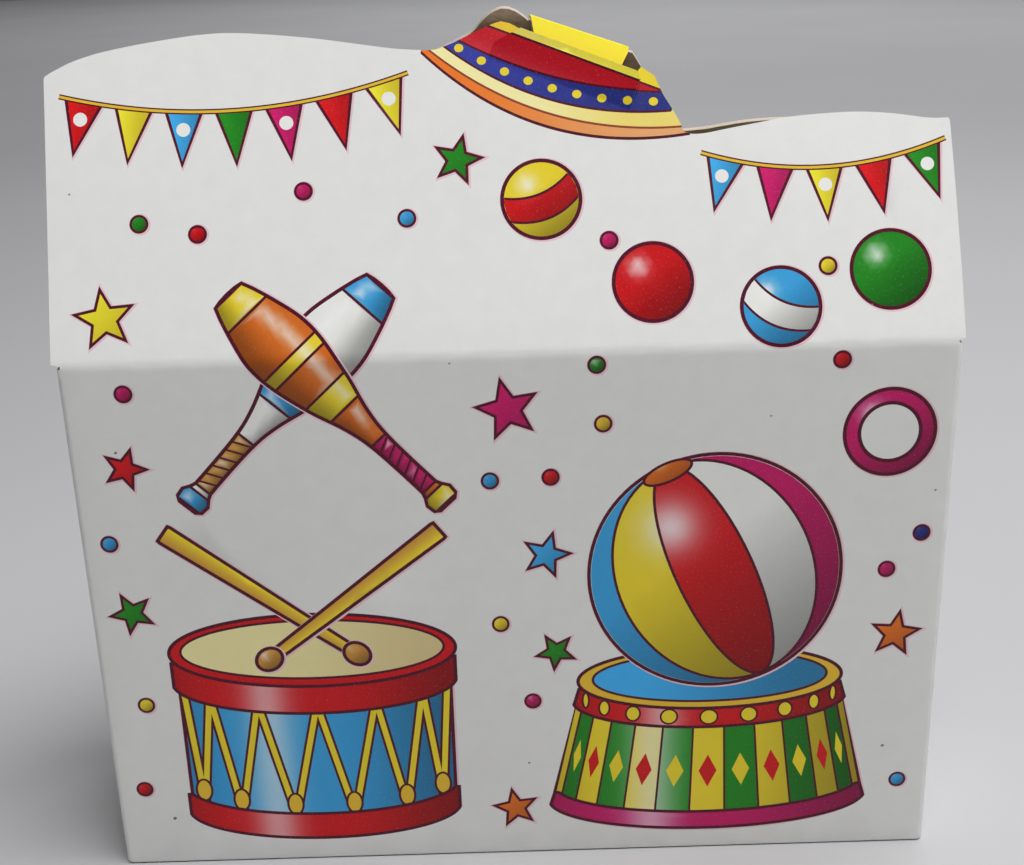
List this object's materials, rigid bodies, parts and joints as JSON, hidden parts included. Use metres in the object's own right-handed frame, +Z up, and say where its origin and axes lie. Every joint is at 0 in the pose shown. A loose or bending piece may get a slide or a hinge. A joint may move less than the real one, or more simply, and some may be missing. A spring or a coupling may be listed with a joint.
{
  "type": "jack in the box",
  "caption": "Small printed card carton with a gable lid locked by a tab, and a spring-mounted doll that pops up when the lid opens.",
  "frame": {"origin": "centre of the carton's footprint, on the surface it stands on", "axes": "+Z up, the printed front faces -Y, +X to the right seen from the front"},
  "size_m": [0.0914, 0.027, 0.091],
  "materials": {
    "printed_board": "white coated folding board, printed, semi-gloss",
    "plain_board": "white coated folding board, grey-brown back",
    "grey_card": "uncoated grey card",
    "bare_wood": "bare birch",
    "spring_steel": "bright drawn wire",
    "striped_cloth": "woven cotton, red and yellow stripes",
    "blue_cloth": "woven cotton",
    "white_cloth": "starched cotton, pleated",
    "painted_head": "turned wood, satin paint",
    "red_bead": "turned wood, gloss paint",
    "black_bead": "gloss bead",
    "yellow_bead": "gloss bead",
    "orange_yarn": "looped wool yarn",
    "yellow_yarn": "cut wool yarn",
    "green_felt": "pressed felt",
    "yellow_felt": "pressed felt"
  },
  "bodies": {
    "carton": {"front_wall": "printed_board", "back_wall": "printed_board", "left_wall": "printed_board", "right_wall": "printed_board", "glue_flap": "plain_board", "bottom_front_flap": "plain_board", "bottom_back_flap": "plain_board", "bottom_left_flap": "plain_board", "bottom_right_flap": "plain_board", "base_card": "grey_card", "base_disc": "bare_wood", "base_staples": "spring_steel", "spring": "spring_steel", "spring_sleeve": "striped_cloth"},
    "front_lid": {"front_roof": "printed_board"},
    "back_lid": {"back_roof": "printed_board"},
    "tongue": {"hat_tongue": "printed_board"},
    "tab": {"lock_tab": "printed_board"},
    "left_flap": {"left_dust_flap": "plain_board"},
    "right_flap": {"right_dust_flap": "plain_board"},
    "jack": {"neck_disc": "bare_wood", "neck_staples": "spring_steel", "neck_peg": "bare_wood", "cape": "blue_cloth", "cape_buttons": "yellow_bead", "left_sleeve": "blue_cloth", "right_sleeve": "blue_cloth", "left_hand": "painted_head", "right_hand": "painted_head", "ruff": "white_cloth", "head": "painted_head", "nose": "red_bead", "eyes": "black_bead", "left_hair": "orange_yarn", "right_hair": "orange_yarn", "hat_brim": "green_felt", "hat_crown": "green_felt", "hat_band": "yellow_felt", "hat_pompom": "yellow_yarn"}
  },
  "joints": [
    {"name": "front_lid_open", "type": "hinge", "parent": "carton", "child": "front_lid", "pos_m": [0, -0.0135, 0.0589], "axis": [1, 0, 0], "range_deg": [0, 120]},
    {"name": "back_lid_open", "type": "hinge", "parent": "carton", "child": "back_lid", "pos_m": [0, 0.0135, 0.0589], "axis": [-1, 0, 0], "range_deg": [0, 120]},
    {"name": "jack_pop", "type": "slide", "parent": "carton", "child": "jack", "axis": [0, 0, 1], "range_m": [0, 0.07], "deforming": ["spring", "spring_sleeve"]},
    {"name": "tab_lift", "type": "hinge", "parent": "back_lid", "child": "tab", "pos_m": [0.01313, 0.00199, 0.08668], "axis": [-0.9379, -0.1328, 0.3206], "range_deg": [0, 117]},
    {"name": "tongue_flex", "type": "hinge", "parent": "front_lid", "child": "tongue", "pos_m": [-0.0013, -0.00225, 0.08606], "axis": [0.9259, -0.1446, -0.349], "range_deg": [0, 25]},
    {"name": "left_flap_open", "type": "hinge", "parent": "carton", "child": "left_flap", "pos_m": [-0.045, 0, 0.0589], "axis": [0, -1, 0], "range_deg": [0, 170]},
    {"name": "right_flap_open", "type": "hinge", "parent": "carton", "child": "right_flap", "pos_m": [0.045, 0, 0.0589], "axis": [0, 1, 0], "range_deg": [0, 170]}
  ],
  "couplings": [
    {"joint": "front_lid_open", "follows": "jack_pop", "rad_per_m": 29.9},
    {"joint": "back_lid_open", "follows": "jack_pop", "rad_per_m": 29.9}
  ]
}
